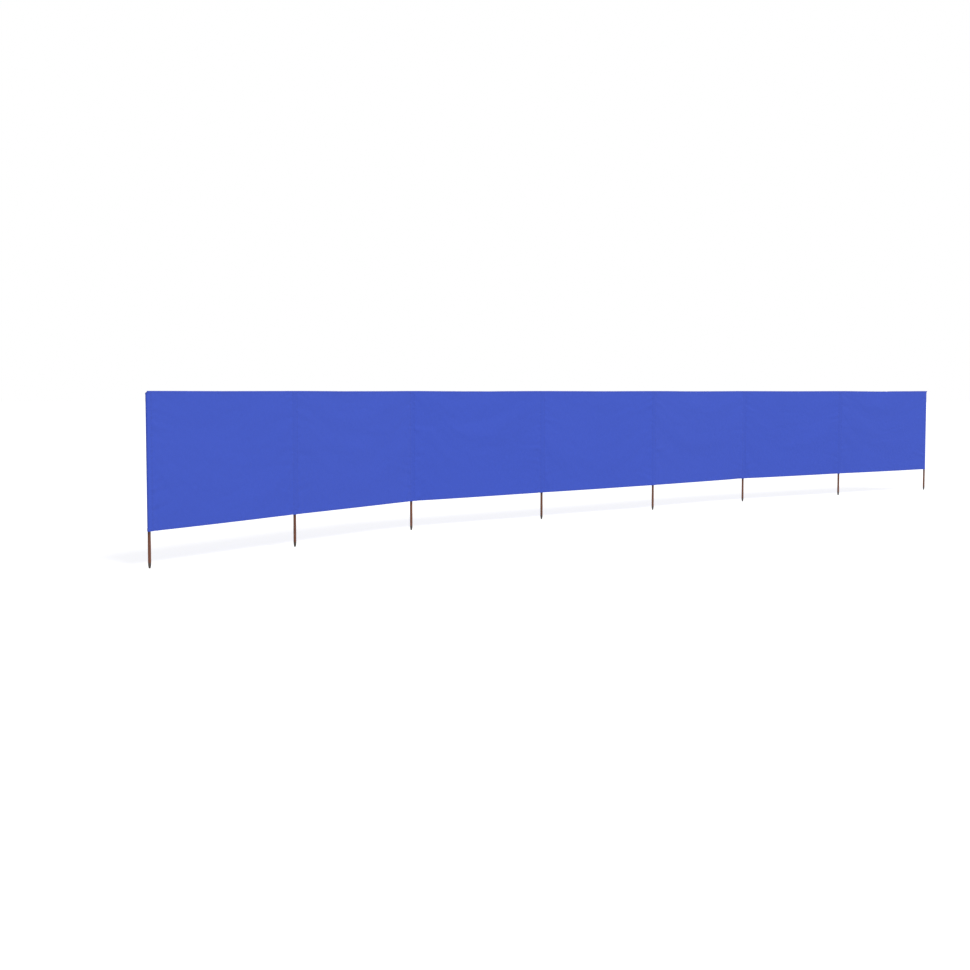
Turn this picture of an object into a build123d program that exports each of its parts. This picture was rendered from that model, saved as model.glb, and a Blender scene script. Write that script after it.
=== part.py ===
from build123d import *
import os
from math import acos, atan2, cos, degrees, radians, sin

# Beach windbreak: one long cloth on round wooden poles, each pole in a pocket sewn to the cloth's back.
# Millimetres and degrees. Z is up and zero at the poles' feet, X runs along the line and -Y is the front.

# Poles
pole_diameter = 18.0
pole_length = 1000.0
point_length = 34.0  # cut point that is pushed into the sand
tip_diameter = 7.0  # blunt end of the point
end_rounding = 3.0  # eased edge of the upper end

# Cloth
cloth_height = 800.0
head_room = 12.0  # from a pole's upper end to the cloth's top edge
bay_width = 1333.0  # from pole to pole
bay_headings = (16.0, 15.0, -1.0, -1.0, 2.0, -7.0, -7.0)  # direction of each bay in plan, from +X
bay_bow = 12.0  # how far the wind pushes the middle of a bay back
top_sag = 3.0  # dip of the top edge between two poles
cloth_thickness = 1.2
hem_width = 15.0  # cloth folded to the back along the top and bottom edges
hem_gap = 0.3  # from the end of a hem to the pocket's edge

# Pockets
pole_clearance = 0.3
seam_reach = 11.0  # from the pole's side to the inner row of stitches
seam_allowance = 6.0  # flat edge of the pocket outside that row
pocket_setback = 1.0  # pocket ends this far inside the cloth's top and bottom edges
fold_radius = 1.5  # inside of the pocket where its top is gathered
top_seam = 3.0  # height of the seam that shuts the top
turned_lap = 12.0  # at the line's ends the turned cloth starts this far in from the pole's axis

pole_radius = pole_diameter / 2
cloth_top = pole_length + head_room
cloth_bottom = cloth_top - cloth_height
cloth_back = pole_radius + pole_clearance  # the cloth's back face, in front of the poles' axes
cloth_front = cloth_back + cloth_thickness
bay_count = len(bay_headings)
pocket_reach = pole_radius + seam_reach + seam_allowance
hood_bottom = pole_length + pole_clearance


def heading_vector(angle):
    return Vector(cos(radians(angle)), sin(radians(angle)))


places = [Vector(0, 0)]
for heading in bay_headings:
    places.append(places[-1] + heading_vector(heading) * bay_width)


def back_angle(index):
    # direction from a pole to the back of the line, halfway between its two bays
    before = bay_headings[max(index - 1, 0)]
    after = bay_headings[min(index, bay_count - 1)]
    return (before + after) / 2 + 90


def mitre(index, depth):
    # where the planes of a pole's two bays meet, the given depth in front of its axis
    half_turn = back_angle(index) - 90 - bay_headings[min(index, bay_count - 1)]
    return places[index] - heading_vector(back_angle(index)) * (depth / cos(radians(half_turn)))


def line_end(index):
    return index in (0, bay_count)


def bay_corner(index, step, depth):
    # corner of a bay's cloth at its first or second pole: on the mitre, or short of it at the line's end
    inward = heading_vector(bay_headings[index]) * (1 - 2 * step)
    return mitre(index + step, depth) + inward * (turned_lap if line_end(index + step) else 0)


def bay_lean(index):
    # slope of a bowed bay at its poles
    span = bay_corner(index, 1, cloth_back) - bay_corner(index, 0, cloth_back)
    return 2 * degrees(atan2(2 * bay_bow, span.length))


def make_pole():
    shaft_top = pole_length - end_rounding
    outline = [
        Line((0, 0), (tip_diameter / 2, 0)),
        TangentArc((pole_radius, point_length), (tip_diameter / 2, 0), tangent=(0, -1)),
        Line((pole_radius, point_length), (pole_radius, shaft_top)),
        TangentArc((pole_radius, shaft_top), (pole_radius - end_rounding, pole_length), tangent=(0, 1)),
        Line((pole_radius - end_rounding, pole_length), (0, pole_length)),
        Line((0, pole_length), (0, 0)),
    ]
    return revolve(Plane.XZ * make_face(outline), Axis.Z)


def bay_layer(index, front, back):
    # one layer of cloth from pole to pole, bowed back between them and mitred at both
    push = heading_vector(bay_headings[index] + 90) * bay_bow
    near = [bay_corner(index, step, front) for step in (0, 1)]
    far = [bay_corner(index, step, back) for step in (0, 1)]
    plan = make_face([
        ThreePointArc(near[0], (near[0] + near[1]) / 2 + push, near[1]),
        Line(near[1], far[1]),
        ThreePointArc(far[1], (far[0] + far[1]) / 2 + push, far[0]),
        Line(far[0], near[0]),
    ])
    return extrude(Pos(0, 0, cloth_bottom) * plan, cloth_height)


def side_view(start, end, low, drop):
    # outline between two heights, its upper edge following the sag of the cloth's top edge
    middle = bay_width / 2
    sag_radius = (middle**2 + top_sag**2) / (2 * top_sag)

    def upper(x):
        return cloth_top - drop - top_sag + sag_radius - (sag_radius**2 - (x - middle) ** 2) ** 0.5

    return make_face([
        ThreePointArc((end, upper(end)), (middle, upper(middle)), (start, upper(start))),
        Line((start, upper(start)), (start, low)),
        Line((start, low), (end, low)),
        Line((end, low), (end, upper(end))),
    ])


def make_panel(index):
    along = heading_vector(bay_headings[index])
    face_on = Plane(places[index], x_dir=along, z_dir=-heading_vector(bay_headings[index] + 90))
    depth = 2 * (bay_bow + cloth_front)
    start, end = (along.dot(mitre(index + step, cloth_back) - places[index]) for step in (0, 1))
    whole = side_view(start - pocket_reach, end + pocket_reach, cloth_bottom, 0)
    hem_start = start + pocket_reach + hem_gap
    hem_end = end - pocket_reach - hem_gap
    hemmed = side_view(hem_start, hem_end, cloth_bottom, 0)
    inside = side_view(hem_start, hem_end, cloth_bottom + hem_width, hem_width)
    sheet = bay_layer(index, cloth_front, cloth_back) & extrude(face_on * whole, depth, both=True)
    fold = bay_layer(index, cloth_back, cloth_back - cloth_thickness)
    hems = fold & extrude(face_on * (hemmed - inside), depth, both=True)
    return sheet + hems


def pocket_sides(index):
    # for each bay at the pole: the corner of its cloth, the way along it from the pole, and the way to its back
    sides = []
    if index < bay_count:
        leaving = bay_headings[index] + bay_lean(index)
        sides.append((bay_corner(index, 0, cloth_back), heading_vector(leaving), heading_vector(leaving + 90)))
    if index > 0:
        arriving = bay_headings[index - 1] - bay_lean(index - 1)
        sides.append((bay_corner(index - 1, 1, cloth_back), -heading_vector(arriving), heading_vector(arriving + 90)))
    return sides


def pocket_plan(index, centre, radius, wall):
    # plan of the pocket, filled in: the cloth's back face closes it, and its strip goes round a circle
    backward = heading_vector(back_angle(index))
    legs = []
    for corner, along, back in pocket_sides(index):
        lap = turned_lap if line_end(index) else 0
        reach = corner + along * (pole_radius + seam_reach - lap) - centre
        turn = atan2(reach.dot(back), reach.dot(along)) + acos(radius / reach.length)
        out = along * cos(turn) + back * sin(turn)
        base = corner + back * wall
        knee = base + along * ((radius + wall - out.dot(base - centre)) / out.dot(along))
        outer = along * (pocket_reach - lap)
        edge = [corner + outer, base + outer] if wall else []
        legs.append([corner, *edge, knee, centre + out * (radius + wall)])
    if line_end(index):
        # the cloth itself turns round the pole and comes back as the strip
        crown = centre - along * (radius + wall)
        face = [corner - backward * wall] if wall else []
        legs.append([corner, *face, centre - backward * (radius + wall)])
    else:
        crown = centre + backward * (radius + wall)
    edges = [Line(a, b) for leg in legs for a, b in zip(leg, leg[1:])]
    return make_face([*edges, ThreePointArc(legs[0][-1], crown, legs[1][-1])])


def pocket_body(index, wall, bottom, top):
    # straight tube beside the pole, and above it the part that narrows to the top seam
    fold = mitre(index, cloth_back) + heading_vector(back_angle(index)) * fold_radius
    if line_end(index):
        # the cloth's end stays straight up to its top corner
        inward = heading_vector(bay_headings[0]) if index == 0 else -heading_vector(bay_headings[-1])
        fold -= inward * (cloth_back - fold_radius)
    round_plan = pocket_plan(index, places[index], cloth_back, wall)
    flat_plan = pocket_plan(index, fold, fold_radius, wall)
    tube = extrude(Pos(0, 0, bottom) * round_plan, hood_bottom - bottom)
    return tube + loft([Pos(0, 0, hood_bottom) * round_plan, Pos(0, 0, top) * flat_plan], ruled=True)


def make_pocket(index):
    setback = 0 if line_end(index) else pocket_setback
    bottom = cloth_bottom + setback
    top = cloth_top - setback
    return pocket_body(index, cloth_thickness, bottom, top) - pocket_body(index, 0, bottom, top - top_seam)


os.makedirs("parts", exist_ok=True)
for number, place in enumerate(places, start=1):
    export_step(Pos(place.X, place.Y, 0) * make_pole(), f"parts/pole_{number}.step")
    export_step(make_pocket(number - 1), f"parts/pocket_{number}.step")
for index in range(bay_count):
    export_step(make_panel(index), f"parts/panel_{index + 1}.step")
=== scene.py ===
import math

import bpy
import numpy as np
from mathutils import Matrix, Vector


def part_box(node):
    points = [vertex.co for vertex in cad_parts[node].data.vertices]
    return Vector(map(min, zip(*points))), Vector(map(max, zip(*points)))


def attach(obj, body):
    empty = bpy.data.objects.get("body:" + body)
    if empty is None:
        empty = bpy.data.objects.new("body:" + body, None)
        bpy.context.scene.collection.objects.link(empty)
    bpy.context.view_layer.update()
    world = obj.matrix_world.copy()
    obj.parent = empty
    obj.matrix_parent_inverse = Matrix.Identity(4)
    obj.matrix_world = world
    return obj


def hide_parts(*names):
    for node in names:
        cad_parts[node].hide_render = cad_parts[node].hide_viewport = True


# Beach windbreak: cloth in bays on pointed wooden poles, each pole in a pocket sewn to the cloth's back.
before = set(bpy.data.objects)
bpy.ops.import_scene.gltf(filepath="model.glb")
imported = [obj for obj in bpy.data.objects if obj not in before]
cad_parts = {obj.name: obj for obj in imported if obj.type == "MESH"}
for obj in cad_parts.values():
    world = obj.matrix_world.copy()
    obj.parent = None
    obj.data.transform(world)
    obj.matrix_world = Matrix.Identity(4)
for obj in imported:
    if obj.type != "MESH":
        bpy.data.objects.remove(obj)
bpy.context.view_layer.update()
mm = 0.001
hair = 1e-6  # two heights that differ by less are the same
print("frame loaded:", len(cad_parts), "nodes")

# The line of poles, read from the frame: one foot for each pole, one direction for each bay.
poleCount = sum(name.startswith("pole_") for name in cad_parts)
bayCount = poleCount - 1
poleBoxes = [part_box(f"pole_{n}") for n in range(1, poleCount + 1)]
feet = np.array([[(low.x + high.x) / 2, (low.y + high.y) / 2] for low, high in poleBoxes])
poleTop = poleBoxes[0][1].z
poleRadius = (poleBoxes[0][1].x - poleBoxes[0][0].x) / 2
clothBottom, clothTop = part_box("panel_1")[0].z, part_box("panel_1")[1].z
clothHeight = clothTop - clothBottom
bayAlong = np.diff(feet, axis=0)
bayWidth = float(np.linalg.norm(bayAlong[0]))
bayAlong = bayAlong / bayWidth
bayBack = np.stack([-bayAlong[:, 1], bayAlong[:, 0]], axis=1)


# Small tools

def linearColor(hexCode):
    # sRGB hex to the linear colour that a shader takes
    parts = [int(hexCode[i:i + 2], 16) / 255 for i in (1, 3, 5)]
    return [p / 12.92 if p <= 0.04045 else ((p + 0.055) / 1.055) ** 2.4 for p in parts] + [1.0]


def setInputs(tree, node, inputs):
    # each input is given its value, or the socket that feeds it, or a node whose first output does
    for name, value in inputs.items():
        source = value.outputs[0] if isinstance(value, bpy.types.Node) else value
        if isinstance(source, bpy.types.NodeSocket):
            tree.links.new(source, node.inputs[name])
        else:
            node.inputs[name].default_value = source


def addNode(tree, kind, inputs=None, **settings):
    node = tree.nodes.new(kind)
    for name, value in settings.items():
        setattr(node, name, value)
    setInputs(tree, node, inputs or {})
    return node


def smoothStep(x):
    x = np.clip(x, 0, 1)
    return x * x * (3 - 2 * x)


def ripple(position, seed, wavelength):
    # uneven wave about zero, at most about 1 high, strong in some places and faint in others
    random = np.random.RandomState(seed)
    wave = 0
    for share in (0.68, 1.0, 1.5):
        length = wavelength * share * random.uniform(0.92, 1.08)
        wave = wave + np.cos(2 * np.pi * position / length + random.uniform(0, 6.28))
    swell = np.cos(2 * np.pi * position / (wavelength * random.uniform(5, 8)) + random.uniform(0, 6.28))
    return wave / 3 * (0.65 + 0.35 * swell)


def cubicWeights(targets, sources):
    # matrix that reads evenly spaced samples at other places along a smooth cubic
    step = sources[1] - sources[0]
    weights = np.zeros((len(targets), len(sources)))
    for row, target in enumerate(targets):
        place = np.clip((target - sources[0]) / step, 0, len(sources) - 1.000001)
        first = int(place)
        t = place - first
        cubic = (-0.5 * t + t**2 - 0.5 * t**3, 1 - 2.5 * t**2 + 1.5 * t**3,
                 0.5 * t + 2 * t**2 - 1.5 * t**3, -0.5 * t**2 + 0.5 * t**3)
        for offset, weight in zip((-1, 0, 1, 2), cubic):
            weights[row, min(max(first + offset, 0), len(sources) - 1)] += weight
    return weights


def newPiece(name, vertices, faces, material, smooth=True):
    mesh = bpy.data.meshes.new(name)
    mesh.from_pydata(np.asarray(vertices).reshape(-1, 3).tolist(), [], faces)
    mesh.materials.append(material)
    mesh.polygons.foreach_set("use_smooth", [smooth] * len(mesh.polygons))
    piece = bpy.data.objects.new(name, mesh)
    bpy.context.scene.collection.objects.link(piece)
    return piece


def gridFaces(rows, columns, start=0):
    r, c = np.meshgrid(np.arange(rows - 1), np.arange(columns - 1), indexing="ij")
    first = (start + r * columns + c).ravel()
    return np.stack([first, first + 1, first + columns + 1, first + columns], axis=1)


def blockFaces(fine, size):
    # the blocks marked as fine are cut into size x size faces, and each other block is one face,
    # whose outline takes in the points of its fine neighbours
    rows, columns = fine.shape[0] * size + 1, fine.shape[1] * size + 1
    cells = gridFaces(rows, columns).reshape(rows - 1, columns - 1, 4)
    faces = cells[np.kron(fine, np.ones((size, size), bool))].tolist()
    for r, c in np.argwhere(~fine):
        low, left = r * size, c * size
        steps = [1 if fine[place] else size for place in ((r - 1, c), (r, c + 1), (r + 1, c), (r, c - 1))]
        outline = [(low, left + k) for k in range(0, size, steps[0])]
        outline += [(low + k, left + size) for k in range(0, size, steps[1])]
        outline += [(low + size, left + size - k) for k in range(0, size, steps[2])]
        outline += [(low + size - k, left) for k in range(0, size, steps[3])]
        faces.append([row * columns + column for row, column in outline])
    return faces


def clothPiece(name, middle, normal, uv, thickness, backed, material, fine=None, size=1):
    # closed sheet round a grid of middle points, with its outer face on the side that the normals point to
    rows, columns = middle.shape[:2]
    count = rows * columns
    outer = blockFaces(fine, size) if fine is not None else gridFaces(rows, columns).tolist()
    inner = [[count + corner for corner in reversed(face)] for face in outer]
    index = np.arange(count).reshape(rows, columns)
    rims = []
    for edge in (index[0, ::-1], index[-1], index[:, 0], index[::-1, -1]):
        near, far = edge[:-1], edge[1:]
        rims += np.stack([near, far, far + count, near + count], axis=1).tolist()
    faces = outer + inner + rims
    used = np.unique(np.concatenate([np.ravel(face) for face in faces]))
    renumbered = np.zeros(2 * count, int)
    renumbered[used] = np.arange(len(used))
    faces = [[int(renumbered[corner]) for corner in face] for face in faces]
    half = normal * np.broadcast_to(thickness, middle.shape[:2])[..., None] / 2
    vertices = np.concatenate([(middle + half).reshape(-1, 3), (middle - half).reshape(-1, 3)])[used]
    piece = newPiece(name, vertices, faces, material)
    mesh = piece.data
    corners = np.zeros(len(mesh.loops), int)
    mesh.loops.foreach_get("vertex_index", corners)
    flat = np.concatenate([uv.reshape(-1, 2)] * 2)[used]
    mesh.uv_layers.new(name="flatCloth").data.foreach_set("uv", flat[corners].ravel())
    backing = np.concatenate([np.broadcast_to(backed, middle.shape[:2]).ravel()] * 2)[used]
    mesh.attributes.new("backed", "FLOAT", "POINT").data.foreach_set("value", backing)
    normals = np.concatenate([normal.reshape(-1, 3), -normal.reshape(-1, 3)])[used]
    mesh.normals_split_custom_set_from_vertices(normals.tolist())
    return piece


def gridNormals(points):
    # unit normals of a grid, on the side from which its columns run to the right and its rows go up
    return unit(np.cross(np.gradient(points, axis=1), np.gradient(points, axis=0)))


def unit(vectors):
    return vectors / np.linalg.norm(vectors, axis=-1, keepdims=True)


# Materials

def newMaterial(name):
    material = bpy.data.materials.new(name)
    material.use_nodes = True
    tree = material.node_tree
    return material, tree, tree.nodes["Principled BSDF"]


wovenLook = {
    "dye": "#4159C4",
    "threadPitch": 2.8 * mm,  # real threads are 0.4 mm apart: drawn seven times as coarse, to show close up
    "gapShade": 0.93,  # painted shade: the gaps between threads are drawn a little darker
    # painted light: the tops of the threads are drawn a little lighter
    "ridgeLight": 1.04,
    "threadHeight": 0.4 * mm,
    "relief": 0.55,
    "weaveRelief": 0.8,  # against the relief of the slubs
    "slubLength": 40 * mm,
    "slubStretch": 12,  # a slub is this many times as long as it is thick
    "patchesPerMetre": 1.6,  # broad patches where the dye took a little more or less
    "unevenDye": 0.05,  # how far slubs and patches lighten and darken the dye
    "unevenRange": (0.85, 1.65),  # of their noises' sum, from the darkest dye to the lightest
    "doubled": 0.975,  # less light comes through where the cloth is double or a pole stands behind it
    "roughness": 0.78,
    "sheen": 0.05,
    "sheenRoughness": 0.5,
    "specular": 0.15,
}


def makeWovenPolyester():
    # plain-woven dyed polyester: matt, even colour, faint slubs along both threads, no gloss
    material, tree, shader = newMaterial("wovenPolyester")
    uv = addNode(tree, "ShaderNodeUVMap", uv_map="flatCloth")
    split = addNode(tree, "ShaderNodeSeparateXYZ", {"Vector": uv}).outputs
    # each thread is a round ridge, and at every other crossing the one set of threads lies on top
    waves = []
    for axis in ("X", "Y"):
        angle = addNode(tree, "ShaderNodeMath", {0: split[axis], 1: math.pi / wovenLook["threadPitch"]},
                        operation="MULTIPLY")
        waves.append(addNode(tree, "ShaderNodeMath", {0: angle}, operation="COSINE"))
    over = addNode(tree, "ShaderNodeMath", {0: waves[0], 1: waves[1]}, operation="MULTIPLY")
    threads = []
    for wave, way in zip(waves, (0.5, -0.5)):
        ridge = addNode(tree, "ShaderNodeMath", {0: wave}, operation="ABSOLUTE")
        lift = addNode(tree, "ShaderNodeMath", {0: over, 1: way, 2: 0.5}, operation="MULTIPLY_ADD")
        threads.append(addNode(tree, "ShaderNodeMath", {0: ridge, 1: lift}, operation="MULTIPLY"))
    weave = addNode(tree, "ShaderNodeMath", {0: threads[0], 1: threads[1]}, operation="MAXIMUM")
    slubs = []
    thin = wovenLook["slubStretch"]
    for stretch in ((1, thin, 1), (thin, 1, 1)):
        scale = [s / wovenLook["slubLength"] for s in stretch]
        placed = addNode(tree, "ShaderNodeMapping", {"Vector": uv, "Scale": scale})
        slubs.append(addNode(tree, "ShaderNodeTexNoise", {"Vector": placed, "Scale": 1.0, "Detail": 3.0,
                                                          "Roughness": 0.6}))
    slubSum = addNode(tree, "ShaderNodeMath", {0: slubs[0], 1: slubs[1]}, operation="ADD")
    patches = addNode(tree, "ShaderNodeTexNoise", {"Vector": uv, "Scale": wovenLook["patchesPerMetre"],
                                                   "Detail": 2.0})
    mixed = addNode(tree, "ShaderNodeMath", {0: patches, 1: 0.5, 2: slubSum}, operation="MULTIPLY_ADD")
    uneven, (least, most) = wovenLook["unevenDye"], wovenLook["unevenRange"]
    value = addNode(tree, "ShaderNodeMapRange", {"Value": mixed, "From Min": least, "From Max": most,
                                                 "To Min": 1 - uneven, "To Max": 1 + uneven})
    backed = addNode(tree, "ShaderNodeAttribute", attribute_name="backed").outputs["Fac"]
    shade = addNode(tree, "ShaderNodeMapRange", {"Value": backed, "To Min": 1.0,
                                                 "To Max": wovenLook["doubled"]})
    # painted shade in the gaps between threads and painted light on their ridges
    weaveShading = addNode(tree, "ShaderNodeMapRange", {"Value": weave, "To Min": wovenLook["gapShade"],
                                               "To Max": wovenLook["ridgeLight"]})
    clear = addNode(tree, "ShaderNodeMath", {0: value, 1: weaveShading}, operation="MULTIPLY")
    level = addNode(tree, "ShaderNodeMath", {0: clear, 1: shade}, operation="MULTIPLY")
    dye = linearColor(wovenLook["dye"])
    colour = addNode(tree, "ShaderNodeHueSaturation", {"Color": dye, "Value": level})
    relief = addNode(tree, "ShaderNodeMath", {0: weave, 1: wovenLook["weaveRelief"], 2: slubSum},
                     operation="MULTIPLY_ADD")
    bump = addNode(tree, "ShaderNodeBump", {"Height": relief, "Strength": wovenLook["relief"],
                                            "Distance": wovenLook["threadHeight"]})
    setInputs(tree, shader, {"Base Color": colour, "Normal": bump, "Roughness": wovenLook["roughness"],
                             "Sheen Weight": wovenLook["sheen"],
                             "Sheen Roughness": wovenLook["sheenRoughness"],
                             "Specular IOR Level": wovenLook["specular"]})
    return material


threadLook = {
    "dye": "#394BA6",
    "fuzzPerMetre": 900.0,
    "fuzzTone": 0.15,
    "roughness": 0.6,
}


def makeSewingThread():
    # spun polyester thread, a little darker than the cloth
    material, tree, shader = newMaterial("spunThread")
    place = addNode(tree, "ShaderNodeTexCoord").outputs["Object"]
    fuzz = addNode(tree, "ShaderNodeTexNoise", {"Vector": place, "Scale": threadLook["fuzzPerMetre"],
                                                "Detail": 1.0})
    spread = threadLook["fuzzTone"]
    value = addNode(tree, "ShaderNodeMapRange", {"Value": fuzz, "To Min": 1 - spread,
                                                 "To Max": 1 + spread})
    dye = linearColor(threadLook["dye"])
    colour = addNode(tree, "ShaderNodeHueSaturation", {"Color": dye, "Value": value})
    setInputs(tree, shader, {"Base Color": colour, "Roughness": threadLook["roughness"]})
    return material


woodLook = {
    "stain": "#844F37",
    "darkGrain": "#5A3526",
    "cutWood": "#4A4A45",  # the cut point goes grey in wet sand
    "cutFrom": 42 * mm,  # the grey starts at this height, and is full at the next
    "cutFull": 35 * mm,
    "cutShare": 0.85,  # how much of the grain it hides
    "cutFray": 14 * mm,  # how far it creeps up along the grain
    "shadeBelowCloth": "#2E282F",  # painted shade on the pole just below the cloth, where the cloth's edge shades the wood
    "shadeBelowClothHeight": 30 * mm,
    "shadeBelowClothFull": 4 * mm,  # below the cloth
    "shadeBelowClothShare": 0.65,
    "grainAcross": 2.2 * mm,
    "grainAlong": 90 * mm,
    "grainRange": (0.38, 0.66),  # of the noise, from pale wood to dark grain
    "grainDepth": 0.3 * mm,
    "relief": 0.5,
    "knotsPerMetre": (34.0, 34.0, 14.0),
    "knotEdge": (0.10, 0.22),  # from a knot's middle: dark up to here, and plain wood from there
    "toneSpread": 0.1,  # poles of one set differ this much in tone
    "toneRange": (0.35, 0.65),
    "tonesPerMetre": 0.6,
    "roughness": 0.62,
}


def makeStainedPine():
    # turned pine with a brown stain: fine dark grain along the pole, a few knots, a grey cut point, and
    # painted shade just below the cloth
    material, tree, shader = newMaterial("stainedPine")
    place = addNode(tree, "ShaderNodeTexCoord").outputs["Object"]
    scale = (1 / woodLook["grainAcross"], 1 / woodLook["grainAcross"], 1 / woodLook["grainAlong"])
    stretched = addNode(tree, "ShaderNodeMapping", {"Vector": place, "Scale": scale})
    grain = addNode(tree, "ShaderNodeTexNoise", {"Vector": stretched, "Scale": 1.0, "Detail": 5.0,
                                                 "Roughness": 0.65, "Distortion": 0.6})
    pale, full = woodLook["grainRange"]
    contrast = addNode(tree, "ShaderNodeMapRange", {"Value": grain, "From Min": pale, "From Max": full})
    knotSpace = addNode(tree, "ShaderNodeMapping", {"Vector": place,
                                                    "Scale": woodLook["knotsPerMetre"]})
    knots = addNode(tree, "ShaderNodeTexVoronoi", {"Vector": knotSpace, "Scale": 1.0})
    core, rim = woodLook["knotEdge"]
    knot = addNode(tree, "ShaderNodeMapRange", {"Value": knots, "From Min": core, "From Max": rim,
                                                "To Min": 1.0, "To Max": 0.0})
    dark = addNode(tree, "ShaderNodeMath", {0: contrast, 1: knot}, operation="MAXIMUM")
    height = addNode(tree, "ShaderNodeSeparateXYZ", {"Vector": place}).outputs["Z"]
    frayed = addNode(tree, "ShaderNodeMath", {0: grain, 1: woodLook["cutFray"], 2: height},
                     operation="MULTIPLY_ADD")
    cut = addNode(tree, "ShaderNodeMapRange", {"Value": frayed, "From Min": woodLook["cutFull"],
                                               "From Max": woodLook["cutFrom"],
                                               "To Min": woodLook["cutShare"], "To Max": 0.0})
    # painted shade: the pole is drawn darker just below the cloth, where the cloth shades it
    shadeBelowClothMask = addNode(tree, "ShaderNodeMapRange", {"Value": height, "To Max": woodLook["shadeBelowClothShare"],
                                               "From Min": clothBottom - woodLook["shadeBelowClothHeight"],
                                               "From Max": clothBottom - woodLook["shadeBelowClothFull"]})
    # each layer covers those before it: a mix node's colours are its inputs 6 and 7 and its output 2
    colour = linearColor(woodLook["stain"])
    for share, layer in ((dark, "darkGrain"), (cut, "cutWood"), (shadeBelowClothMask, "shadeBelowCloth")):
        colour = addNode(tree, "ShaderNodeMix", {0: share, 6: colour, 7: linearColor(woodLook[layer])},
                         data_type="RGBA").outputs[2]
    patch = addNode(tree, "ShaderNodeTexNoise", {"Vector": place, "Scale": woodLook["tonesPerMetre"],
                                                 "Detail": 1.0})
    spread, (least, most) = woodLook["toneSpread"], woodLook["toneRange"]
    tone = addNode(tree, "ShaderNodeMapRange", {"Value": patch, "From Min": least, "From Max": most,
                                                "To Min": 1 - spread, "To Max": 1 + spread})
    toned = addNode(tree, "ShaderNodeHueSaturation", {"Color": colour, "Value": tone})
    bump = addNode(tree, "ShaderNodeBump", {"Height": dark, "Strength": woodLook["relief"],
                                            "Distance": woodLook["grainDepth"]}, invert=True)
    setInputs(tree, shader, {"Base Color": toned, "Normal": bump, "Roughness": woodLook["roughness"]})
    return material


wovenPolyester = makeWovenPolyester()
spunThread = makeSewingThread()
stainedPine = makeStainedPine()
print("materials made")


# The camera stands where the photograph was taken from

camera = {
    "place": (-4.2223, -7.2627, 1.0093),
    "yaw": 46.64,  # degrees from +X towards +Y
    "pitch": -3.72,
    "lens": 53.42,
    "sensor": 36.0,
    "clipEnd": 400.0,
}


def makeCamera():
    data = bpy.data.cameras.new("camera")
    data.lens, data.sensor_width, data.clip_end = camera["lens"], camera["sensor"], camera["clipEnd"]
    body = bpy.data.objects.new("camera", data)
    bpy.context.scene.collection.objects.link(body)
    yaw, pitch = math.radians(camera["yaw"]), math.radians(camera["pitch"])
    forward = Vector((math.cos(yaw) * math.cos(pitch), math.sin(yaw) * math.cos(pitch), math.sin(pitch)))
    body.location = camera["place"]
    body.rotation_euler = forward.to_track_quat("-Z", "Y").to_euler()
    bpy.context.scene.camera = body


makeCamera()


# Cloth: where it hangs between the poles

cloth = {
    "thickness": 0.4 * mm,
    "depth": 9.9 * mm,  # middle of the cloth in front of the poles' axes
    "cornerReach": 12 * mm,  # a turn at a pole is spread over this much on both sides
    "belly": 12 * mm,  # how far the wind pushes the middle of a bay back
    "topSag": 3 * mm,
    "hemWidth": 15 * mm,
    "hemSeam": 12.5 * mm,  # row of stitches from the edge
    "hemFade": 6 * mm,  # the hem's stiffness ends over this height
    "turnAngles": (60, 120),  # degrees: rows of points where a hem is turned over
    "layerStep": 0.7 * mm,  # between the middles of two layers sewn together
    "poleBump": 0.9 * mm,  # the hems stand this much further out where they cross a pole
    "bumpHalf": 14 * mm,  # half as wide as the bump
    "bumpFade": 10 * mm,
    "hemPucker": 1.3 * mm,
    "pocketPucker": 1.5 * mm,
    "puckerLength": 31 * mm,
    "puckerSpread": 14 * mm,
    "calmEnd": 40 * mm,  # puckers grow over this much from where two seams meet
    "seamDent": 0.5 * mm,  # the stitches of a pocket pull the cloth in
    "dentSpread": 5 * mm,
    "pullFold": 1.5 * mm,  # slack folds that fan out from the pockets
    "pullLength": 85 * mm,  # from fold to fold
    "pullReach": 170 * mm,
    "pullStart": 6 * mm,  # from the pole
    "pullGrowth": 30 * mm,
}
pocket = {
    "seam": 20 * mm,  # inner row of stitches, from the pole's axis
    "betweenSeams": 22.2 * mm,
    "outerSeam": 24.5 * mm,
    "reach": 26 * mm,
    "edgeColumns": 4,  # columns of points where the strip lies on the cloth, at the four places above
    "seamColumns": [1, 3],  # those on its seams, counted from its edge
    "squeeze": 0.85,  # the stitches pull the layers together
    "lift": 1.4,  # from the cloth to the strip on it, in layer steps
    "hemLift": 1.5,  # this much more where it lies on a hem
    "edgeThickness": 1.5,  # the strip's edge is turned under
    "setback": 1 * mm,
    "topRadius": 1.5 * mm,
    "narrowing": 7 * mm,  # height above the pole's end over which the pocket closes
    "topSeam": 5 * mm,  # row of stitches that shuts it, from the top edge
    "lapSteps": 3,  # at the line's ends the turned cloth starts this many columns in from the pole
    "gather": 0.5 * mm,
    "gatherPitch": 9 * mm,
    "mouthHem": 12.5 * mm,
    "mouthSeam": 10 * mm,
    "seamGap": 3 * mm,  # upright seams stop this short of the cloth's edges
    "looseness": 1.5 * mm,
    "roundLoose": 0.12,  # share of it where the strip goes round the pole
    "lapLoose": 0.01,
    "foldLength": 85 * mm,
    "foldSlant": 0.9,
    "foldCalm": 50 * mm,  # the loose folds grow over this much from the mouth and from the pole's end
    "topRows": 6,  # rows of points added between the others where it narrows
    "legColumns": 7,  # columns of points from the seam to the pole
    "roundColumns": 13,
    "turnedColumns": 27,
    "turnedSteps": 49,
    "patternStart": 20.0,  # the weave's pattern on the strips is another stretch than on the bays
}
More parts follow.
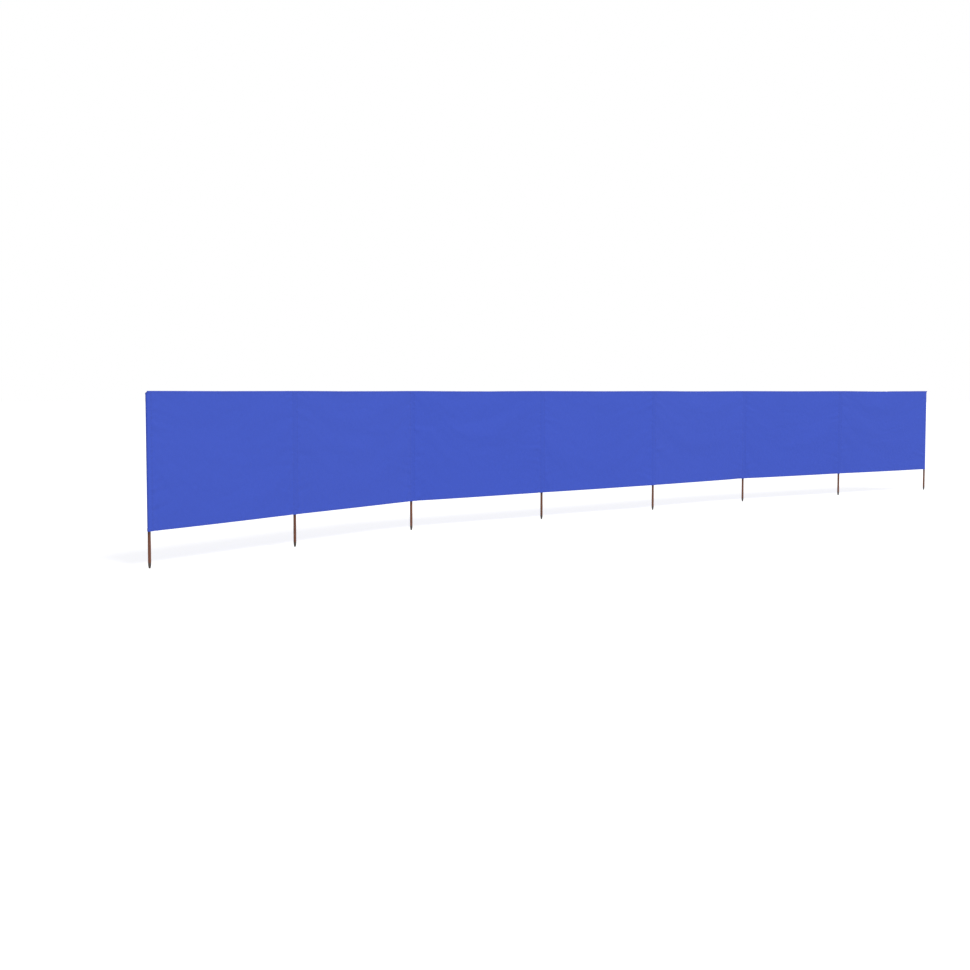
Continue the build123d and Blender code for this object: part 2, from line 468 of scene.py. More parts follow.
grid = {
    "block": 3,  # a coarse face of the cloth spans this many fine ones each way
    "edgeStep": 2.5 * mm,
    "edgeCount": 9,
    "poleStep": 4 * mm,
    "poleCount": 12,
    "upCount": 150,
    "alongCount": 234,
}


def gradedSteps(length, step, edgeCount, middleCount):
    # positions from 0 to length, with steps of the given size in both edge zones
    edge = np.arange(edgeCount) * step
    middle = np.linspace(edgeCount * step, length - edgeCount * step, middleCount + 1)
    return np.concatenate([edge, middle, length - edge[::-1]])


sheetU = gradedSteps(bayWidth, grid["poleStep"], grid["poleCount"], grid["alongCount"])
sheetV = gradedSteps(clothHeight, grid["edgeStep"], grid["edgeCount"], grid["upCount"])


def mitre(index, depth):
    # where the planes of a pole's two bays meet, the given depth in front of its axis
    before, after = bayBack[max(index - 1, 0)], bayBack[min(index, bayCount - 1)]
    return feet[index] - (before + after) / (1 + before @ after) * depth


def bayLine(bay, u):
    # plan of the cloth at distances u from the bay's first pole, with the turns at its poles rounded
    start, end = mitre(bay, cloth["depth"]), mitre(bay + 1, cloth["depth"])
    length = np.linalg.norm(end - start)
    line = start + np.outer(u / bayWidth * length, bayAlong[bay])
    reach = cloth["cornerReach"]
    for corner, distance, way, other in (
        (start, u, bayAlong[bay], bay - 1),
        (end, bayWidth - u, -bayAlong[bay], bay + 1),
    ):
        if not 0 <= other < bayCount:
            continue
        beyond = -bayAlong[other] if other < bay else bayAlong[other]
        t = (0.5 + 0.5 * np.clip(distance / reach, 0, 1))[:, None]
        far, near = corner + beyond * reach, corner + way * reach
        rounded = (1 - t) ** 2 * far + 2 * t * (1 - t) * corner + t**2 * near
        line = np.where((distance < reach)[:, None], rounded, line)
    return line


simulation = {
    "step": 20 * mm,
    "frames": 30,
    "quality": 6,
    "slack": 0.003,  # share by which the cloth is wider than its bay
    "wind": 1.6,
    "gravity": -9.81,
    "vertexMass": 0.008,
    "stiffness": 70.0,
    "shear": 1 / 3,  # of the stiffness
    "bending": 0.08,
    "firstBelly": 4,  # mm, before the wind
    # folds that it starts with: depth in mm, and radians for each metre along and up
    "firstFolds": ((2, 3.8, 2), (1.5, 6.8, -5), (1.5, 2.2, 14)),
    "bayGap": 0.1,  # between two bays while they are simulated, as a share of a bay
    "seed": 3,
}


def simulateBellies():
    # hangs each bay's cloth between its two pockets, in a steady wind from the front
    columns = round(bayWidth / simulation["step"]) + 1
    rows = round(clothHeight / simulation["step"]) + 1
    u = np.linspace(0, bayWidth, columns)
    v = np.linspace(0, clothHeight, rows)
    random = np.random.RandomState(simulation["seed"])
    start = np.zeros((bayCount, rows, columns, 3))
    for bay in range(bayCount):
        phases = random.uniform(0, 6.28, len(simulation["firstFolds"]))
        gridU, gridV = np.meshgrid(u, v)
        arch = np.sin(np.pi * gridU / bayWidth)
        waves = simulation["firstBelly"]
        for (depth, along, up), phase in zip(simulation["firstFolds"], phases):
            waves = waves + depth * np.sin(along * gridU + up * gridV + phase)
        bayStart = (1 + simulation["bayGap"]) * bay * bayWidth
        start[bay] = np.stack([gridU + bayStart, arch * waves * mm, gridV], axis=2)
    faces = np.concatenate([gridFaces(rows, columns, bay * rows * columns) for bay in range(bayCount)])
    piece = newPiece("simulated_bays", start, faces.tolist(), wovenPolyester)
    held = (u < pocket["reach"]) | (u > bayWidth - pocket["reach"])
    pinned = np.arange(bayCount * rows * columns)[np.tile(held, bayCount * rows)]
    piece.vertex_groups.new(name="pinned").add(pinned.tolist(), 1.0, "ADD")
    scene = bpy.context.scene
    scene.gravity = (0, simulation["wind"], simulation["gravity"])
    modifier = piece.modifiers.new("cloth", "CLOTH")
    settings = modifier.settings
    settings.quality = simulation["quality"]
    settings.mass = simulation["vertexMass"]
    settings.tension_stiffness = settings.compression_stiffness = simulation["stiffness"]
    settings.shear_stiffness = simulation["stiffness"] * simulation["shear"]
    settings.bending_stiffness = simulation["bending"]
    settings.vertex_group_mass = "pinned"
    settings.shrink_min = -simulation["slack"]
    modifier.collision_settings.use_collision = False
    modifier.point_cache.frame_end = simulation["frames"]
    for number in range(1, simulation["frames"] + 1):
        scene.frame_set(number)
    hung = piece.evaluated_get(bpy.context.evaluated_depsgraph_get()).to_mesh()
    places = np.zeros(len(hung.vertices) * 3)
    hung.vertices.foreach_get("co", places)
    moved = places.reshape(start.shape)
    flat = start.copy()
    flat[..., 1] = 0
    bpy.data.objects.remove(piece)
    scene.frame_set(1)
    scene.gravity = (0, 0, simulation["gravity"])
    return u, v, moved - flat


simU, simV, bellies = simulateBellies()
middleBelly = bellies[:, :, len(simU) // 2, 1].mean()
# the pattern of the folds stays, and their depth follows the belly
bellies[..., :2] *= cloth["belly"] / middleBelly
print("cloth hung, mean belly before fitting:", round(middleBelly / mm, 1), "mm")


def hemNearness(v):
    # 1 in the hems along the top and bottom edges, 0 in the single cloth between
    edge = np.minimum(v, clothHeight - v)
    return 1 - smoothStep((edge - cloth["hemWidth"]) / cloth["hemFade"])


def backWay(bay, u):
    # level direction to the back at distances u along a bay, and at a pole halfway between its two bays
    way = np.tile(bayBack[bay], (len(u), 1))
    for distance, other in ((u, bay - 1), (bayWidth - u, bay + 1)):
        if 0 <= other < bayCount:
            share = 0.5 * (1 - smoothStep(distance / cloth["cornerReach"]))[:, None]
            way = way * (1 - share) + bayBack[other] * share
    return unit(way)


def sheetSurface(bay, u, v):
    # points of the cloth at flat places u along the bay and v above the bottom edge
    line = bayLine(bay, u)
    belly = np.einsum("rj,jkc,sk->rsc", cubicWeights(v, simV), bellies[bay], cubicWeights(u, simU))
    fromPole = np.minimum(u, bayWidth - u)
    overPole = 1 - smoothStep((fromPole - cloth["bumpHalf"]) / cloth["bumpFade"])
    backward = belly[..., 1] - cloth["poleBump"] * np.outer(hemNearness(v), overPole)
    spread = cloth["puckerSpread"]
    for edge, seed in ((v, 11), (clothHeight - v, 12)):
        near = np.exp(-((edge - cloth["hemSeam"]) / spread) ** 2)
        held = smoothStep((fromPole - pocket["reach"]) / cloth["calmEnd"])
        wave = ripple(bay * bayWidth + u, seed, cloth["puckerLength"])
        backward += cloth["hemPucker"] * np.outer(near, held * wave)
    for side, distance in enumerate((u, bayWidth - u)):
        near = np.exp(-((distance - pocket["seam"]) / spread) ** 2) * smoothStep(distance / pocket["seam"])
        calm = smoothStep(np.minimum(v, clothHeight - v) / cloth["calmEnd"])
        wave = ripple(v, 40 + 2 * bay + side, cloth["puckerLength"])
        dent = cloth["seamDent"] * np.exp(-((distance - pocket["seam"]) / cloth["dentSpread"]) ** 2)
        backward += cloth["pocketPucker"] * np.outer(calm * wave, near) + dent
        fan = v[:, None] + np.outer(v / clothHeight - 0.5, distance)
        growth = smoothStep((distance - cloth["pullStart"]) / cloth["pullGrowth"])
        fade = growth * np.exp(-(distance / cloth["pullReach"]) ** 2)
        wave = ripple(fan, 90 + 2 * bay + side, cloth["pullLength"])
        backward += cloth["pullFold"] * np.outer(calm, fade) * wave
    points = np.zeros((len(v), len(u), 3))
    points[..., :2] = line + belly[..., :1] * bayAlong[bay] + backward[..., None] * backWay(bay, u)
    points[..., 2] = clothBottom + v[:, None] + belly[..., 2]
    return points


def foldOver(points, normal, flatV, rows, step):
    # rows that turn the cloth's first edge over to its back and lay that many rows down there
    outward = unit(points[0] - points[1])
    turned, turnedNormal = [], []
    for angle in np.radians(cloth["turnAngles"]):
        inward = normal[0] * step / 2 * (1 - np.cos(angle))
        turned.append(points[0] - inward + outward * step / 2 * np.sin(angle))
        turnedNormal.append(normal[0] * np.cos(angle) + outward * np.sin(angle))
    laid = points[:rows] - normal[:rows] * step
    way = np.sign(flatV[0] - flatV[1])
    flat = flatV[0] + way * np.concatenate([(0.5 * step, step), 1.5 * step + np.abs(flatV[:rows] - flatV[0])])
    return np.concatenate([turned, laid]), np.concatenate([turnedNormal, -normal[:rows]]), flat


def withHems(points, normal, flatV, rows, step):
    # the cloth with its first and last edges turned over
    first = foldOver(points, normal, flatV, rows[0], step)
    last = foldOver(points[::-1], normal[::-1], flatV[::-1], rows[1], step)
    return [np.concatenate([a[::-1], b, c]) for a, b, c in zip(first, (points, normal, flatV), last)]


stitch = {
    "pitch": 4.5 * mm,
    "length": 3.7 * mm,
    "width": 1.1 * mm,  # real thread is half as thick: drawn thicker, to show
    "height": 0.8 * mm,
    "sides": 4,  # of a bead of thread
    "rings": 2,
    "wander": 0.1,  # each bead is turned by up to this many radians
    "seed": 5,
    "thread": spunThread,
}
hemSeams, pocketSeams = [], []  # lines on the finished cloth, with normals, which rows of stitches follow


def addSeam(seams, points, normal, offset):
    seams.append((points + normal * offset, normal))


def withinEdges(v):
    # the rows that an upright seam runs along
    return (v > pocket["seamGap"]) & (v < clothHeight - pocket["seamGap"])


def makePanel(bay):
    points = sheetSurface(bay, sheetU, sheetV)
    normal = gridNormals(points)
    half, step = cloth["thickness"] / 2, cloth["layerStep"]
    for edge in (cloth["hemSeam"], clothHeight - cloth["hemSeam"]):
        row = np.argmin(np.abs(sheetV - edge))
        addSeam(hemSeams, points[row], normal[row], half)
        addSeam(hemSeams, points[row] - normal[row] * (step + half), -normal[row], 0)
    for distance in (pocket["seam"], pocket["outerSeam"]):
        for u in (distance, bayWidth - distance):
            line = sheetSurface(bay, np.array([u - mm, u, u + mm]), sheetV)
            sewn = withinEdges(sheetV)
            addSeam(pocketSeams, line[sewn, 1], gridNormals(line)[sewn, 1], half)
    hemRows = 1 + np.argmin(np.abs(sheetV - cloth["hemWidth"]))
    points, normal, flatV = withHems(points, normal, sheetV, (hemRows, hemRows), step)
    uv = np.stack(np.broadcast_arrays((bay * bayWidth + sheetU)[None, :], flatV[:, None]), axis=2)
    fromPole = np.minimum(sheetU, bayWidth - sheetU)
    nearEdge = np.minimum(flatV, clothHeight - flatV) < cloth["hemWidth"]
    backed = np.maximum.outer(nearEdge, fromPole < pocket["reach"]).astype(float)
    # fine faces in the hems and beside the pockets, coarse ones in the open cloth
    fine = np.zeros(((len(flatV) - 1) // grid["block"], (len(sheetU) - 1) // grid["block"]), bool)
    across = (hemRows + len(cloth["turnAngles"]) + grid["edgeCount"]) // grid["block"] + 1
    beside = grid["poleCount"] // grid["block"] + 1
    fine[:across] = fine[-across:] = fine[:, :beside] = fine[:, -beside:] = True
    lap = pocket["lapSteps"]
    kept = slice(lap if bay == 0 else 0, -lap if bay == bayCount - 1 else None)
    blocks = slice(1 if bay == 0 else 0, -1 if bay == bayCount - 1 else None)
    piece = clothPiece(f"cloth_bay_{bay + 1}", points[:, kept], normal[:, kept], uv[:, kept],
                       cloth["thickness"], backed[:, kept], wovenPolyester, fine[:, blocks], grid["block"])
    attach(piece, "root")
    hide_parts(f"panel_{bay + 1}")


for bay in range(bayCount):
    makePanel(bay)
print("bays of cloth made:", bayCount)


# Pockets: a strip sewn to the back of the cloth at each pole, or the cloth's own end turned round the pole

def pocketLeg(index, bay, v, centre, radius):
    # the strip from its edge along the cloth's back, and then straight to where it meets the pole
    along = bayAlong[bay] if bay == index else -bayAlong[bay]
    distance = np.array([pocket["reach"], pocket["outerSeam"], pocket["betweenSeams"], pocket["seam"]])
    squeeze = np.ones(pocket["edgeColumns"])
    squeeze[pocket["seamColumns"]] = pocket["squeeze"]
    u = distance if bay == index else bayWidth - distance
    order = np.argsort(u)
    lying = np.zeros((len(v), len(u), 3))
    lying[:, order] = sheetSurface(bay, u[order], v)
    raised = cloth["layerStep"] * (pocket["lift"] + pocket["hemLift"] * hemNearness(v))
    lying[..., :2] += np.outer(raised, squeeze)[..., None] * bayBack[bay]
    knee = lying[:, -1, :2] - centre
    turn = np.arctan2(knee @ bayBack[bay], knee @ along)
    turn += np.arccos(np.clip(radius / np.linalg.norm(knee, axis=1), -1, 1))
    touch = radius[:, None] * (np.outer(np.cos(turn), along) + np.outer(np.sin(turn), bayBack[bay]))
    share = np.linspace(0, 1, pocket["legColumns"] + 2)[1:-1, None]
    straight = lying[:, -1:, :2] * (1 - share) + (centre + touch)[:, None] * share
    slack = np.concatenate([np.zeros(pocket["edgeColumns"]), np.sin(np.pi * share[:, 0])])
    return np.concatenate([lying[..., :2], straight], axis=1), touch, slack


def evenSteps(path, count):
    # the same number of even steps along each row of a plan
    out = np.zeros((len(path), count, 2))
    for row, line in enumerate(path):
        run = np.concatenate([[0], np.cumsum(np.linalg.norm(np.diff(line, axis=0), axis=1))])
        steps = np.linspace(0, run[-1], count)
        out[row] = np.stack([np.interp(steps, run, line[:, 0]), np.interp(steps, run, line[:, 1])], axis=1)
    return out


def pocketPlan(index, v, z):
    # plan of a pocket at each height, and for each column its looseness and whether it lies on the cloth
    ended = index in (0, bayCount)
    bay = min(index, bayCount - 1)
    backward = unit(bayBack[max(index - 1, 0)] + bayBack[bay])
    lift = smoothStep((z - poleTop) / pocket["narrowing"])[:, None]
    bump = cloth["poleBump"] * hemNearness(v)
    radius = (cloth["depth"] + bump) * (1 - lift[:, 0]) + pocket["topRadius"] * lift[:, 0]
    front = mitre(index, cloth["depth"]) - np.outer(bump, backward)
    inward = bayAlong[bay] * (1 if index == 0 else -1)
    closed = front + backward * pocket["topRadius"]
    if ended:
        # the cloth's end stays straight up to its corner
        closed = closed - inward * (cloth["depth"] - pocket["topRadius"])
    centre = (1 - lift) * feet[index] + lift * closed
    first, touch, slack = pocketLeg(index, bay, v, centre, radius)
    firstAngle = np.arctan2(touch[:, 1], touch[:, 0])
    way = -1 if index == bayCount else 1
    if ended:
        lastAngle = math.atan2(-backward[1], -backward[0])
    else:
        last, touch, _ = pocketLeg(index, index - 1, v, centre, radius)
        lastAngle = np.arctan2(touch[:, 1], touch[:, 0])
    sweep = way * np.mod(way * (lastAngle - firstAngle), 2 * np.pi)
    steps = pocket["turnedSteps"] if ended else pocket["roundColumns"]
    angles = firstAngle[:, None] + sweep[:, None] * np.linspace(0, 1, steps)
    arc = centre[:, None] + radius[:, None, None] * np.stack([np.cos(angles), np.sin(angles)], axis=2)
    if not ended:
        onPole = np.full(pocket["roundColumns"], pocket["roundLoose"])
        plan = np.concatenate([first, arc, last[:, ::-1]], axis=1)
        return plan, np.concatenate([slack, onPole, slack[::-1]])
    lapU = np.arange(1, pocket["lapSteps"] + 1) * grid["poleStep"]
    lapU = lapU if index == 0 else bayWidth - lapU[::-1]
    lap = sheetSurface(bay, lapU, v)[..., :2]
    turned = evenSteps(np.concatenate([arc, front[:, None]], axis=1), pocket["turnedColumns"])
    onPole = np.full(pocket["turnedColumns"], pocket["roundLoose"])
    loose = np.concatenate([slack, onPole, np.full(pocket["lapSteps"], pocket["lapLoose"])])
    if index == 0:
        return np.concatenate([first, turned, lap], axis=1), loose
    return np.concatenate([lap, turned[:, ::-1], first[:, ::-1]], axis=1), loose[::-1]


def makePocket(index):
    ended = index in (0, bayCount)
    v = np.union1d(sheetV, clothHeight - (np.arange(pocket["topRows"]) + 0.5) * grid["edgeStep"])
    if not ended:
        v[0], v[-1] = pocket["setback"], clothHeight - pocket["setback"]
    z = clothBottom + v
    plan, loose = pocketPlan(index, v, z)
    points = np.concatenate([plan, np.broadcast_to(z[:, None, None], (*plan.shape[:2], 1))], axis=2)
    onCloth = loose == 0
    # loose folds that run at a slant, strongest half way between the seam and the pole
    across = np.concatenate([[0], np.cumsum(np.linalg.norm(np.diff(points[len(v) // 2], axis=0), axis=1))])
    slant = pocket["foldSlant"]
    fold = np.stack([ripple(v + slant * s, 70 + index, pocket["foldLength"]) for s in across], axis=1)
    calm = smoothStep(np.minimum(v, poleTop - clothBottom - v) / pocket["foldCalm"])[:, None]
    out = pocket["looseness"] * calm * loose * (0.5 + 0.5 * fold)
    gathered = smoothStep((z - poleTop) / pocket["narrowing"])[:, None]
    pleats = (loose > pocket["lapLoose"]) * (1 + np.cos(across * 2 * np.pi / pocket["gatherPitch"]))
    out = out + pocket["gather"] * gathered * pleats
    points = points + gridNormals(points) * out[..., None]
    normal = gridNormals(points)
    half, step = cloth["thickness"] / 2, cloth["layerStep"]
    sewn = withinEdges(v)
    columns = np.flatnonzero(onCloth)
    leftEdge = columns < pocket["edgeColumns"]
    for side in (columns[leftEdge], columns[~leftEdge][::-1]):
        for column in side[pocket["seamColumns"]] if len(side) else []:
            addSeam(pocketSeams, points[sewn, column], normal[sewn, column], pocket["edgeThickness"] * half)
    width = cloth["hemWidth"] if ended else pocket["mouthHem"]
    seam = cloth["hemSeam"] if ended else pocket["mouthSeam"]
    for edge in (seam, clothHeight - pocket["topSeam"]):
        row = np.argmin(np.abs(v - edge))
        addSeam(pocketSeams, points[row, 1:-1], normal[row, 1:-1], half)
    below, above = np.sum(v <= width + hair), np.sum(v >= clothHeight - width - hair)
    points, normal, flatV = withHems(points, normal, v, (below, above), step)
    flatU = across + pocket["patternStart"] + index
    uv = np.stack(np.broadcast_arrays(flatU[None, :], flatV[:, None]), axis=2)
    thickness = cloth["thickness"] * np.where(onCloth, pocket["edgeThickness"], 1.0)
    backed = np.broadcast_to(onCloth.astype(float), points.shape[:2])
    piece = clothPiece(f"pole_pocket_{index + 1}", points, normal, uv, thickness, backed, wovenPolyester)
    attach(piece, "root")
    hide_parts(f"pocket_{index + 1}")


for index in range(poleCount):
    makePocket(index)
print("pole pockets made:", poleCount)


# Trees of geometry nodes: one sets the stitches along the seams, one turns the poles

def newTree(name, values):
    # an empty tree that takes a mesh and these values, each by its own name
    tree = bpy.data.node_groups.new(name, "GeometryNodeTree")
    tree.interface.new_socket("base", in_out="INPUT", socket_type="NodeSocketGeometry")
    tree.interface.new_socket("made", in_out="OUTPUT", socket_type="NodeSocketGeometry")
    kinds = {int: "Int", float: "Float"}
    for label, value in values.items():
        kind = kinds.get(type(value), "Material")
        tree.interface.new_socket(label, in_out="INPUT", socket_type="NodeSocket" + kind)
    return tree, addNode(tree, "NodeGroupInput").outputs


def madeByTree(name, mesh, tree, values):
    # what the tree makes of a mesh, as a plain piece
    base = bpy.data.objects.new(name + "_base", mesh)
    bpy.context.scene.collection.objects.link(base)
    modifier = base.modifiers.new("nodes", "NODES")
    modifier.node_group = tree
    for item in tree.interface.items_tree:
        if item.name in values:
            modifier[item.identifier] = values[item.name]
    evaluated = base.evaluated_get(bpy.context.evaluated_depsgraph_get())
    piece = bpy.data.objects.new(name, bpy.data.meshes.new_from_object(evaluated))
    piece.data.materials.pop(index=0)  # an empty slot that the tree puts before the material
    bpy.data.objects.remove(base)
    bpy.context.scene.collection.objects.link(piece)
    return piece


def stitchTree():
    # beads of thread along the seams, each on the side that the seam faces
    tree, given = newTree("stitchRows", stitch)
    facing = addNode(tree, "GeometryNodeInputNamedAttribute", {"Name": "facing"}, data_type="FLOAT_VECTOR")
    line = addNode(tree, "GeometryNodeMeshToCurve", {"Mesh": given["base"]})
    dots = addNode(tree, "GeometryNodeCurveToPoints", {"Curve": line, "Length": given["pitch"]},
                   mode="LENGTH").outputs
    upright = addNode(tree, "FunctionNodeAlignRotationToVector", {"Vector": facing}, axis="Z")
    turned = addNode(tree, "FunctionNodeAlignRotationToVector", {"Rotation": upright,
                                                                 "Vector": dots["Tangent"]},
                     axis="X", pivot_axis="Z")
    most = addNode(tree, "ShaderNodeCombineXYZ", {"Z": given["wander"]})
    least = addNode(tree, "ShaderNodeVectorMath", {0: most, 1: (-1, -1, -1)}, operation="MULTIPLY")
    wander = addNode(tree, "FunctionNodeRandomValue", {"Min": least, "Max": most, "Seed": given["seed"]},
                     data_type="FLOAT_VECTOR")
    wandered = addNode(tree, "FunctionNodeRotateRotation", {"Rotation": turned, "Rotate By": wander},
                       rotation_space="LOCAL")
    halfSize = [addNode(tree, "ShaderNodeMath", {0: given[name], 1: 0.5}, operation="MULTIPLY")
                for name in ("length", "width", "height")]
    scale = addNode(tree, "ShaderNodeCombineXYZ", dict(zip(("X", "Y", "Z"), halfSize)))
    ball = addNode(tree, "GeometryNodeMeshUVSphere", {"Segments": given["sides"], "Rings": given["rings"]})
    bead = addNode(tree, "GeometryNodeTransform", {"Geometry": ball, "Scale": scale})
    placed = addNode(tree, "GeometryNodeInstanceOnPoints", {"Points": dots["Points"], "Instance": bead,
                                                            "Rotation": wandered})
    real = addNode(tree, "GeometryNodeRealizeInstances", {"Geometry": placed})
    sewn = addNode(tree, "GeometryNodeSetMaterial", {"Geometry": real, "Material": given["thread"]})
    addNode(tree, "NodeGroupOutput", {"made": sewn})
    return tree


def makeStitches(name, seams, tree):
    # one bead of thread for each stitch
    points = np.concatenate([line for line, facing in seams])
    edges = []
    for line, facing in seams:
        start = edges[-1][1] + 1 if edges else 0
        edges += [(start + k, start + k + 1) for k in range(len(line) - 1)]
    mesh = bpy.data.meshes.new(name)
    mesh.from_pydata(points.tolist(), edges, [])
    facing = np.concatenate([facing for line, facing in seams])
    mesh.attributes.new("facing", "FLOAT_VECTOR", "POINT").data.foreach_set("vector", facing.ravel())
    piece = madeByTree(name, mesh, tree, stitch)
    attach(piece, "root")
    print(name, len(piece.data.polygons) // (stitch["sides"] * stitch["rings"]))


stitches = stitchTree()
makeStitches("hem_stitches", hemSeams, stitches)
makeStitches("pocket_stitches", pocketSeams, stitches)


pole = {
    "pointLength": 29 * mm,
    "tipRadius": 5.2 * mm,  # of the blunt tip, before its edge is rounded
    "tipRounding": 1.7 * mm,
    "endRounding": 3 * mm,
    "sides": 28,
    "rows": 56,  # rows of faces from tip to top, closest together near both ends
    "crowding": 2.5,  # how much closer together
    "unevenness": 0.3 * mm,
    "noiseScale": 1.2,  # low, so that the wood is out of round all over, and not lumpy
    "flats": 0.35 * mm,  # depth of the faint flats that the cutter leaves round the point
    "flatWaves": 3.5,  # half as many as the flats
    "seed": 9,
    "wood": stainedPine,
}


def poleValues(index):
    # what the tree is given for one pole: its point is an arc from the shaft to the edge of the tip
    values = {**pole, "length": poleTop, "radius": poleRadius, "seed": pole["seed"] + index}
    rise = poleRadius - values.pop("tipRadius")
    values["pointCurve"] = (pole["pointLength"] ** 2 + rise**2) / (2 * rise)
    return values


def poleTree():
    # turned pole on each foot: a blunt rounded point, a straight shaft and an eased top end
    tree, given = newTree("turnedPole", poleValues(0))
    blank = addNode(tree, "GeometryNodeMeshCylinder", {"Vertices": given["sides"],
                                                       "Side Segments": given["rows"],
                                                       "Radius": 1.0, "Depth": 1.0}).outputs
    place = addNode(tree, "GeometryNodeInputPosition")
    split = addNode(tree, "ShaderNodeSeparateXYZ", {"Vector": place}).outputs
    # from the even rows of the cylinder to heights along the pole
    low = addNode(tree, "ShaderNodeMapRange", {"Value": split["Z"], "From Min": -0.5, "From Max": 0.5})
    high = addNode(tree, "ShaderNodeMath", {0: 1.0, 1: low}, operation="SUBTRACT")
    ends = [addNode(tree, "ShaderNodeMath", {0: end, 1: given["crowding"]}, operation="POWER")
            for end in (low, high)]
    both = addNode(tree, "ShaderNodeMath", {0: ends[0], 1: ends[1]}, operation="ADD")
    share = addNode(tree, "ShaderNodeMath", {0: ends[0], 1: both}, operation="DIVIDE")
    height = addNode(tree, "ShaderNodeMath", {0: share, 1: given["length"]}, operation="MULTIPLY")
    fromTop = addNode(tree, "ShaderNodeMath", {0: given["length"], 1: height}, operation="SUBTRACT")
    # each rounding is an arc that draws the radius in towards one end
    radius = given["radius"]
    for size, distance, arc in (
        ("pointLength", height, "pointCurve"),
        ("tipRounding", height, "tipRounding"),
        ("endRounding", fromTop, "endRounding"),
    ):
        depth = addNode(tree, "ShaderNodeMath", {0: given[size], 1: distance}, operation="SUBTRACT",
                        use_clamp=True)
        sine = addNode(tree, "ShaderNodeMath", {0: depth, 1: given[arc]}, operation="DIVIDE")
        angle = addNode(tree, "ShaderNodeMath", {0: sine}, operation="ARCSINE")
        cosine = addNode(tree, "ShaderNodeMath", {0: angle}, operation="COSINE")
        drop = addNode(tree, "ShaderNodeMath", {0: given[arc], 1: cosine}, operation="MULTIPLY")
        inner = addNode(tree, "ShaderNodeMath", {0: radius, 1: given[arc]}, operation="SUBTRACT")
        radius = addNode(tree, "ShaderNodeMath", {0: inner, 1: drop}, operation="ADD")
    # faint flats round the point, and wood that isn't quite round
    turn = addNode(tree, "ShaderNodeMath", {0: split["Y"], 1: split["X"]}, operation="ARCTAN2")
    facet = addNode(tree, "ShaderNodeMath", {0: turn, 1: given["flatWaves"], 2: given["seed"]},
                    operation="MULTIPLY_ADD")
    crest = addNode(tree, "ShaderNodeMath", {0: facet}, operation="COSINE")
    carved = addNode(tree, "ShaderNodeMath", {0: crest}, operation="ABSOLUTE")
    along = addNode(tree, "ShaderNodeMapRange", {"Value": height, "From Max": given["pointLength"],
                                                 "To Max": math.pi})
    within = addNode(tree, "ShaderNodeMath", {0: along}, operation="SINE")
    faceted = addNode(tree, "ShaderNodeMath", {0: carved, 1: within}, operation="MULTIPLY")
    flats = addNode(tree, "ShaderNodeMath", {0: faceted, 1: given["flats"]}, operation="MULTIPLY")
    noise = addNode(tree, "ShaderNodeTexNoise", {"Vector": place, "W": given["seed"],
                                                 "Scale": given["noiseScale"], "Detail": 0.0},
                    noise_dimensions="4D", normalize=False)
    worn = addNode(tree, "ShaderNodeMath", {0: noise, 1: given["unevenness"], 2: flats},
                   operation="MULTIPLY_ADD")
    reach = addNode(tree, "ShaderNodeMath", {0: radius, 1: worn}, operation="SUBTRACT")
    level = addNode(tree, "ShaderNodeVectorMath", {0: place, 1: (1, 1, 0)}, operation="MULTIPLY")
    out = addNode(tree, "ShaderNodeVectorMath", {0: level, "Scale": reach}, operation="SCALE")
    up = addNode(tree, "ShaderNodeCombineXYZ", {"Z": height})
    turned = addNode(tree, "ShaderNodeVectorMath", {0: out, 1: up}, operation="ADD")
    shaped = addNode(tree, "GeometryNodeSetPosition", {"Geometry": blank["Mesh"], "Position": turned})
    smooth = addNode(tree, "GeometryNodeSetShadeSmooth", {"Geometry": shaped, "Shade Smooth": blank["Side"]})
    standing = addNode(tree, "GeometryNodeInstanceOnPoints", {"Points": given["base"], "Instance": smooth})
    real = addNode(tree, "GeometryNodeRealizeInstances", {"Geometry": standing})
    wooden = addNode(tree, "GeometryNodeSetMaterial", {"Geometry": real, "Material": given["wood"]})
    addNode(tree, "NodeGroupOutput", {"made": wooden})
    return tree


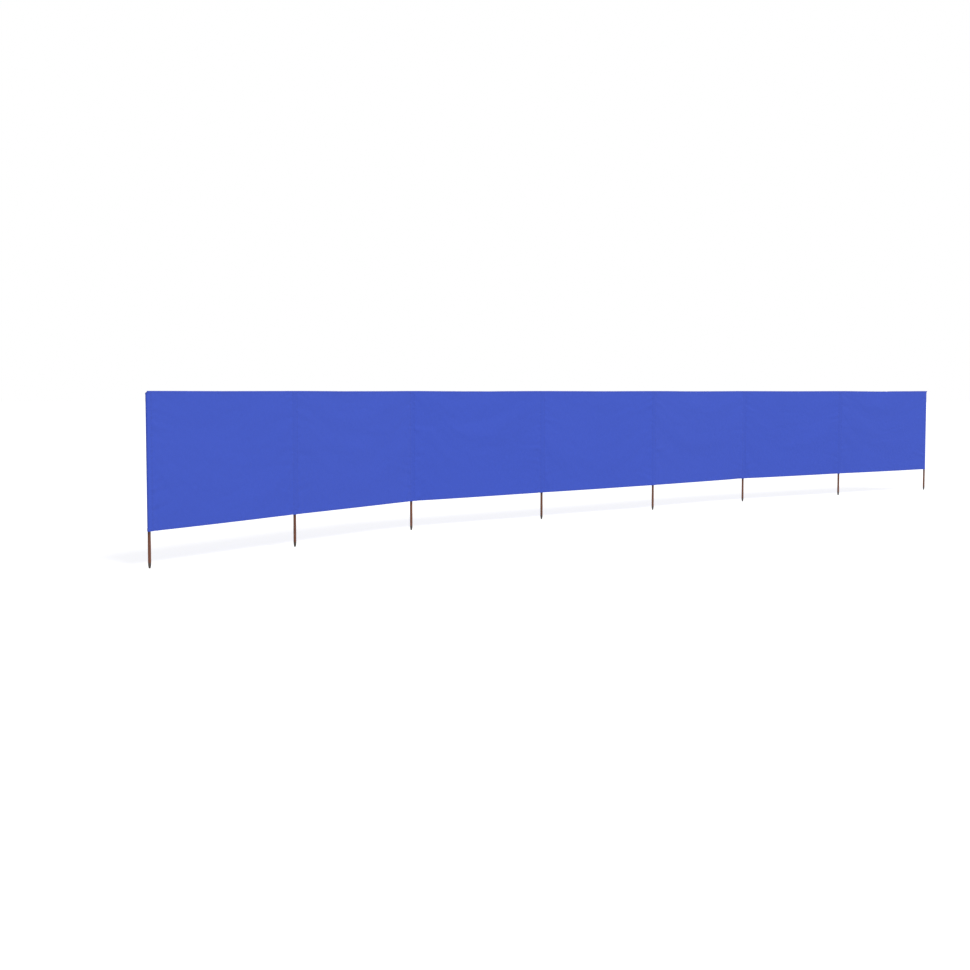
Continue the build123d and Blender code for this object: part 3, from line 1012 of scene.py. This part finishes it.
def makePole(index, tree):
    foot = bpy.data.meshes.new("foot")
    foot.from_pydata([(*feet[index].tolist(), 0)], [], [])
    piece = madeByTree(f"wooden_pole_{index + 1}", foot, tree, poleValues(index))
    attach(piece, "root")
    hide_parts(f"pole_{index + 1}")


turnedPole = poleTree()
for index in range(poleCount):
    makePole(index, turnedPole)
print("poles made:", poleCount)


# Ground and light

stage = {
    "reach": 120.0,  # half of the floor's width
    "floor": "#BCBCBC",
    "floorGlow": 0.57,
    "sky": 0.53,
    # name, strength, angle across in degrees, and the way that the light goes
    "lamps": (("keyLight", 2.1, 26.0, (-0.05, 0.86, -0.9)), ("backLight", 1.3, 60.0, (-0.35, -0.8, -0.8))),
}


def makeStage():
    reach = stage["reach"]
    material, tree, shader = newMaterial("paleFloor")
    tree.nodes.remove(shader)
    path = addNode(tree, "ShaderNodeLightPath").outputs
    matt = addNode(tree, "ShaderNodeBsdfDiffuse", {"Color": linearColor(stage["floor"])})
    glow = addNode(tree, "ShaderNodeEmission", {"Strength": stage["floorGlow"]})
    lit = addNode(tree, "ShaderNodeAddShader", {0: matt, 1: glow})
    seen = addNode(tree, "ShaderNodeMixShader", {0: path["Is Camera Ray"], 1: matt, 2: lit})
    setInputs(tree, tree.nodes["Material Output"], {"Surface": seen})
    corners = [(-reach, -reach, 0), (reach, -reach, 0), (reach, reach, 0), (-reach, reach, 0)]
    floor = newPiece("floor", corners, [(0, 1, 2, 3)], material, smooth=False)
    world = bpy.data.worlds.new("studio")
    bpy.context.scene.world = world
    world.use_nodes = True
    tree = world.node_tree
    path = addNode(tree, "ShaderNodeLightPath").outputs
    strength = addNode(tree, "ShaderNodeMapRange", {"Value": path["Is Camera Ray"], "To Min": stage["sky"],
                                                    "To Max": 1.0})
    setInputs(tree, tree.nodes["Background"], {"Color": (1, 1, 1, 1), "Strength": strength})
    for name, strength, angle, way in stage["lamps"]:
        light = bpy.data.lights.new(name, "SUN")
        light.energy, light.angle = strength, math.radians(angle)
        lamp = bpy.data.objects.new(name, light)
        bpy.context.scene.collection.objects.link(lamp)
        lamp.rotation_euler = Vector(way).to_track_quat("-Z", "Y").to_euler()


makeStage()
bpy.context.scene.view_settings.view_transform = "Standard"
